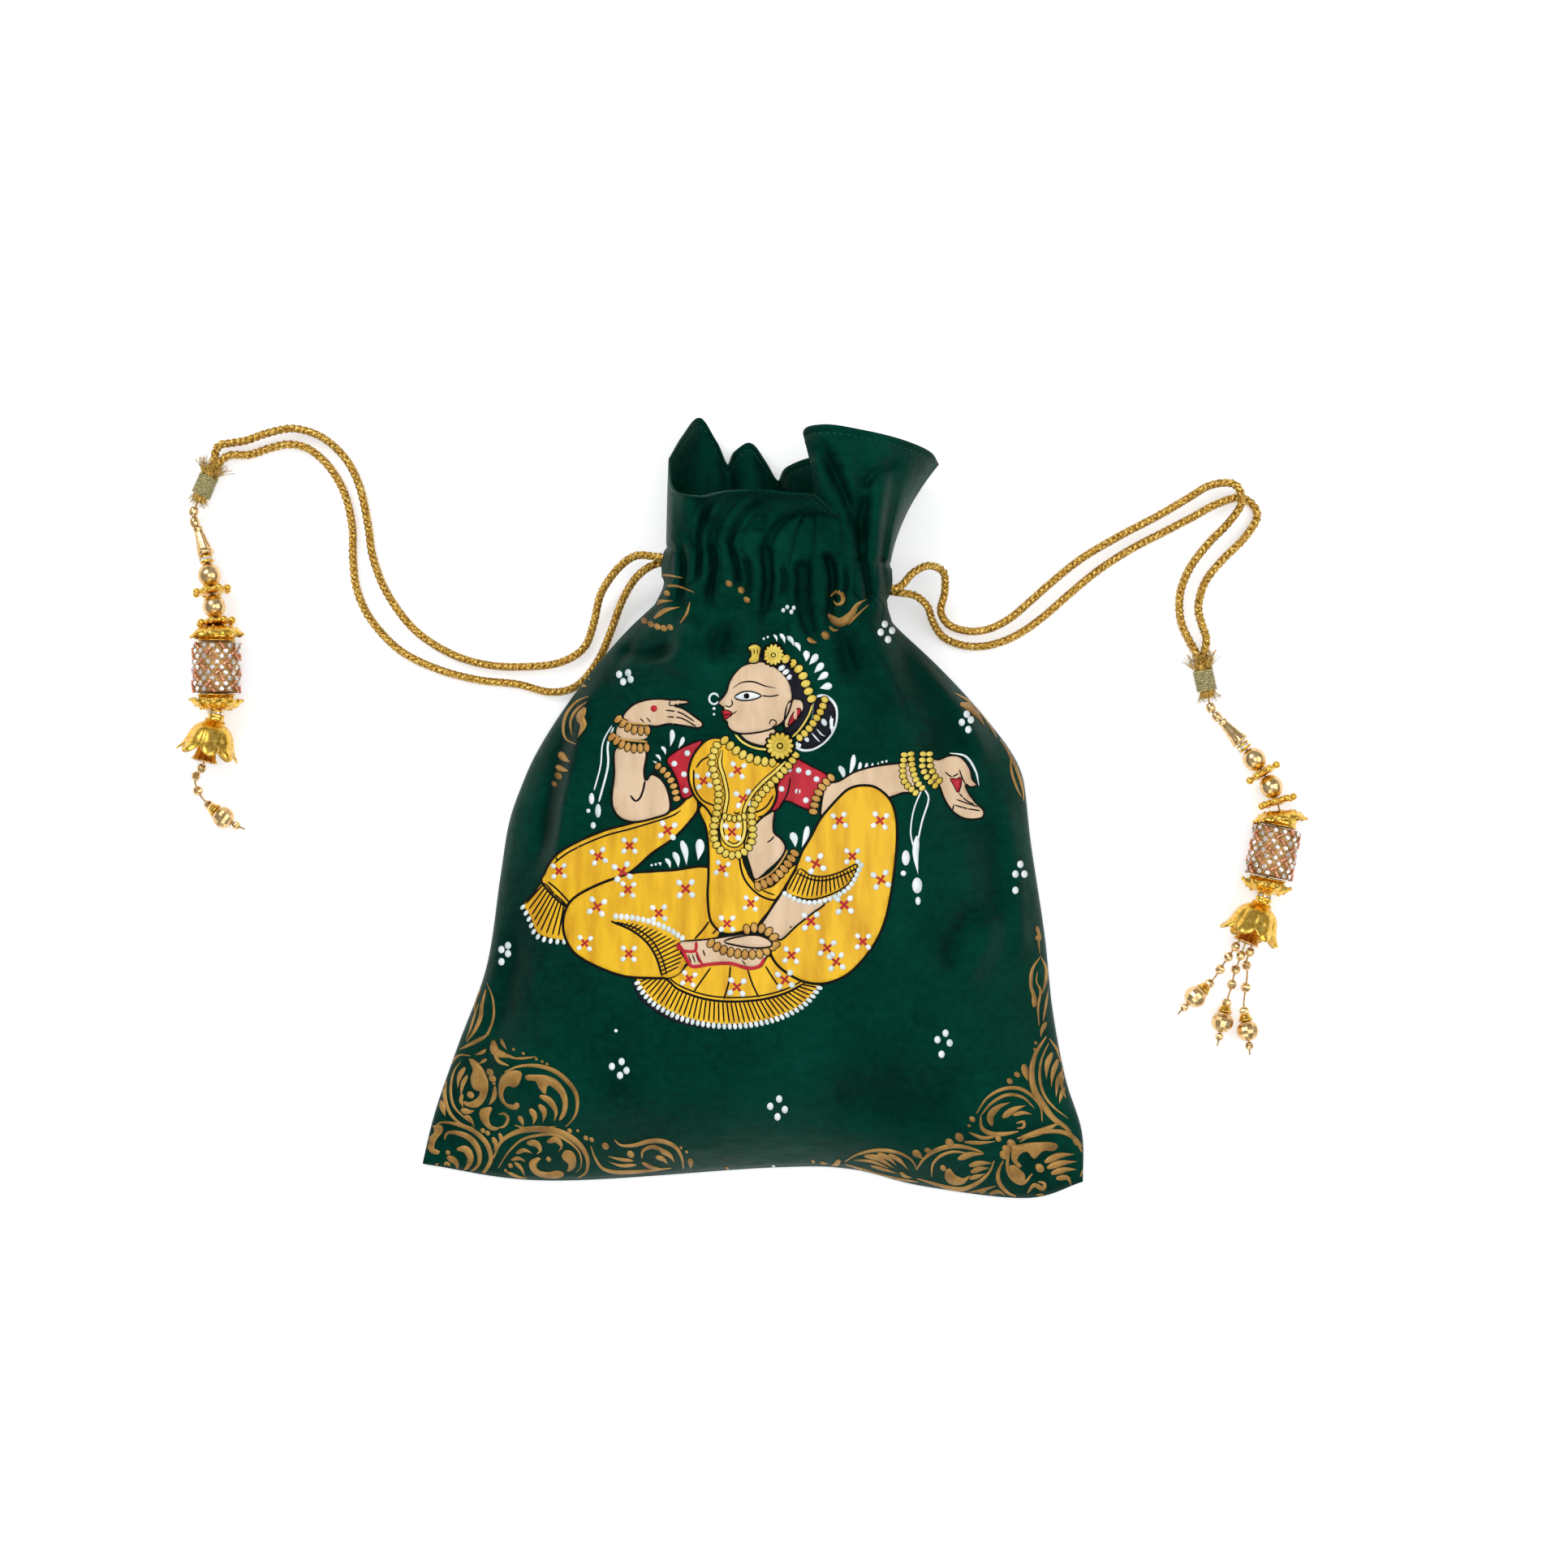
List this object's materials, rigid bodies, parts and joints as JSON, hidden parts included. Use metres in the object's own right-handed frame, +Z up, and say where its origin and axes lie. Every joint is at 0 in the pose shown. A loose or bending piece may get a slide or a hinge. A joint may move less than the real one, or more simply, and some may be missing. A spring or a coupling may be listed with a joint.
{
  "type": "potli bag",
  "caption": "Gathered cloth potli bag lying on its back, with a ruffled frill, gold drawstrings round the neck and beaded tassels",
  "frame": {"origin": "centre of the cloth bag's footprint on the surface it lies on, drawstrings and tassels left out", "axes": "+Y runs from the bottom edge to the frill, +X across the bag to the painted front's right, +Z up out of the painted front"},
  "size_m": [0.3441, 0.2378, 0.046],
  "materials": {
    "green_cloth": "fine woven bottle green cloth with a slight sheen",
    "gold_cord": "braided metallic gold cord",
    "bead_thread": "fine gold thread",
    "wrap_thread": "thread wrap with cut cord fibres",
    "bead_gold": "champagne gold plating",
    "cap_gold": "yellow gold plating",
    "barrel_gold": "brownish gold set with small stones"
  },
  "bodies": {
    "root": {"front_panel": "green_cloth", "back_panel": "green_cloth", "casing_strip_front": "green_cloth", "casing_strip_back": "green_cloth", "drawstring_left": "gold_cord", "drawstring_right": "gold_cord", "left_end_binding": "wrap_thread", "left_seed_bead_1": "bead_gold", "left_seed_bead_2": "bead_gold", "left_cone_bead": "bead_gold", "left_crystal_ring_upper": "bead_gold", "left_ball_bead_upper": "bead_gold", "left_star_spacer_upper": "cap_gold", "left_ball_bead_lower": "bead_gold", "left_star_spacer_lower": "cap_gold", "left_flower_cap_upper": "cap_gold", "left_barrel_collar_upper": "cap_gold", "left_barrel_bead": "barrel_gold", "left_barrel_collar_lower": "cap_gold", "left_flower_cap_lower": "cap_gold", "left_crystal_ring_lower": "bead_gold", "left_lotus_cap": "cap_gold", "left_bell": "bead_gold", "left_tassel_thread": "bead_thread", "left_drop_1_string": "bead_thread", "left_drop_1_cap": "cap_gold", "left_drop_1_ball": "bead_gold", "left_drop_1_tip": "bead_gold", "right_end_binding": "wrap_thread", "right_seed_bead_1": "bead_gold", "right_seed_bead_2": "bead_gold", "right_cone_bead": "bead_gold", "right_crystal_ring_upper": "bead_gold", "right_ball_bead_upper": "bead_gold", "right_star_spacer_upper": "cap_gold", "right_ball_bead_lower": "bead_gold", "right_star_spacer_lower": "cap_gold", "right_flower_cap_upper": "cap_gold", "right_barrel_collar_upper": "cap_gold", "right_barrel_bead": "barrel_gold", "right_barrel_collar_lower": "cap_gold", "right_flower_cap_lower": "cap_gold", "right_crystal_ring_lower": "bead_gold", "right_lotus_cap": "cap_gold", "right_bell": "bead_gold", "right_tassel_thread": "bead_thread", "right_drop_1_string": "bead_thread", "right_drop_1_cap": "cap_gold", "right_drop_1_ball": "bead_gold", "right_drop_1_tip": "bead_gold", "right_drop_2_string": "bead_thread", "right_drop_2_cap": "cap_gold", "right_drop_2_ball": "bead_gold", "right_drop_2_tip": "bead_gold", "right_drop_3_string": "bead_thread", "right_drop_3_cap": "cap_gold", "right_drop_3_ball": "bead_gold", "right_drop_3_tip": "bead_gold"}
  },
  "joints": []
}
